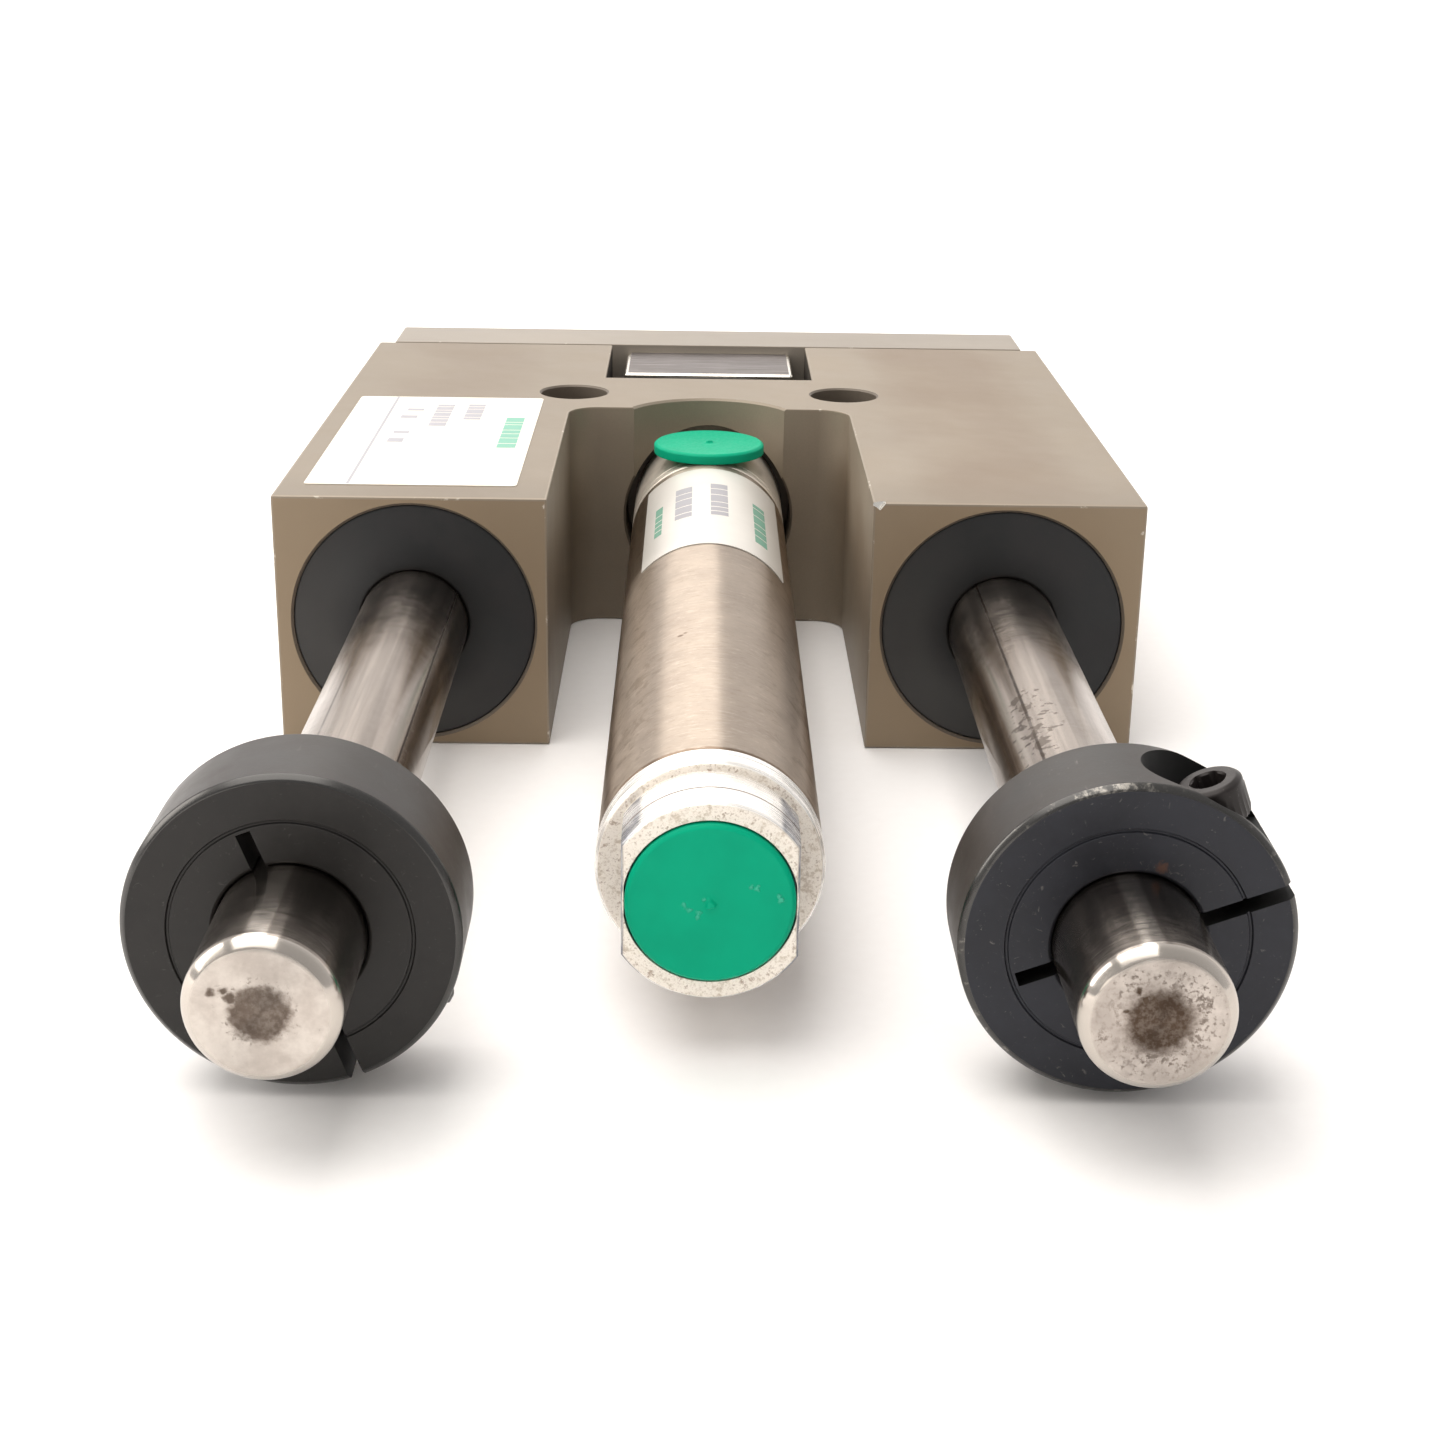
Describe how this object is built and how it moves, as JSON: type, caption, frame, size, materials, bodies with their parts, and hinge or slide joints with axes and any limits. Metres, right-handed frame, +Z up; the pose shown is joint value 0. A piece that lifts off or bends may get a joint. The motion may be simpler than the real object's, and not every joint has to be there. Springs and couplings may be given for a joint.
{
  "type": "guided pneumatic cylinder",
  "caption": "Twin-rod guided pneumatic thruster: a small round cylinder between two guide rods pushes a tooling plate through a U-shaped bearing block.",
  "frame": {"origin": "on the bearing block's base face, on its centre line, midway between its two vertical mounting holes", "axes": "+Y along the guide rods, the way the tooling plate extends; +Z up out of the block's base face; +X to the right seen from the stop collars"},
  "size_m": [0.1024, 0.2107, 0.0306],
  "materials": {
    "anodised_aluminium": "hard anodised, satin, champagne grey",
    "bare_aluminium": "machined, with a grainy face",
    "zinc_plated_steel": "zinc plated, satin",
    "ground_steel": "ground and hardened, polished along its length",
    "stainless_tube": "fine brushed stainless",
    "black_oxide_steel": "black oxide, satin, worn on its edges",
    "bronze": "sintered, matt",
    "black_rubber": "matt",
    "green_plastic": "moulded, semi-gloss",
    "label_vinyl": "printed vinyl, satin"
  },
  "bodies": {
    "housing": {"bearing_block": "anodised_aluminium", "linear_bushing_front_left": "zinc_plated_steel", "linear_bushing_front_right": "zinc_plated_steel", "linear_bushing_rear_left": "zinc_plated_steel", "linear_bushing_rear_right": "zinc_plated_steel", "nose_nut": "zinc_plated_steel", "bushing_spacer_left": "bare_aluminium", "bushing_spacer_right": "bare_aluminium", "cylinder_head": "bare_aluminium", "rear_cap": "bare_aluminium", "wiper_seal_front_left": "black_rubber", "wiper_seal_front_right": "black_rubber", "wiper_seal_rear_left": "black_rubber", "wiper_seal_rear_right": "black_rubber", "head_oring": "black_rubber", "cap_oring": "black_rubber", "front_bumper": "black_rubber", "rear_bumper": "black_rubber", "rod_seal": "black_rubber", "cylinder_tube": "stainless_tube", "rod_bushing": "bronze", "block_label": "label_vinyl", "tube_label": "label_vinyl"},
    "carriage": {"guide_rod_left": "ground_steel", "guide_rod_right": "ground_steel", "piston_rod": "ground_steel", "tooling_plate": "anodised_aluminium", "coupling_block": "bare_aluminium", "piston": "bare_aluminium", "plate_screw_left": "black_oxide_steel", "plate_screw_right": "black_oxide_steel", "coupling_screw_lower": "black_oxide_steel", "coupling_screw_upper": "black_oxide_steel", "rod_lock_nut": "zinc_plated_steel", "piston_seal_front": "black_rubber", "piston_seal_rear": "black_rubber"},
    "left_stop": {"stop_collar_left": "black_oxide_steel", "collar_screw_left": "black_oxide_steel"},
    "right_stop": {"stop_collar_right": "black_oxide_steel", "collar_screw_right": "black_oxide_steel"},
    "rear_plug": {"rear_port_plug": "green_plastic"},
    "front_plug": {"front_port_plug": "green_plastic"}
  },
  "joints": [
    {"name": "carriage_slide", "type": "slide", "parent": "housing", "child": "carriage", "axis": [0, 1, 0], "range_m": [0, 0.0755]},
    {"name": "collar_set_left", "type": "slide", "parent": "carriage", "child": "left_stop", "axis": [0, 1, 0], "range_m": [-0.013, 0]},
    {"name": "collar_set_right", "type": "slide", "parent": "carriage", "child": "right_stop", "axis": [0, 1, 0], "range_m": [-0.013, 0]},
    {"name": "port_plug_rear", "type": "slide", "parent": "housing", "child": "rear_plug", "axis": [0, -1, 0], "range_m": [0, 0.02]},
    {"name": "port_plug_front", "type": "slide", "parent": "housing", "child": "front_plug", "axis": [0, 0, 1], "range_m": [0, 0.02]}
  ]
}
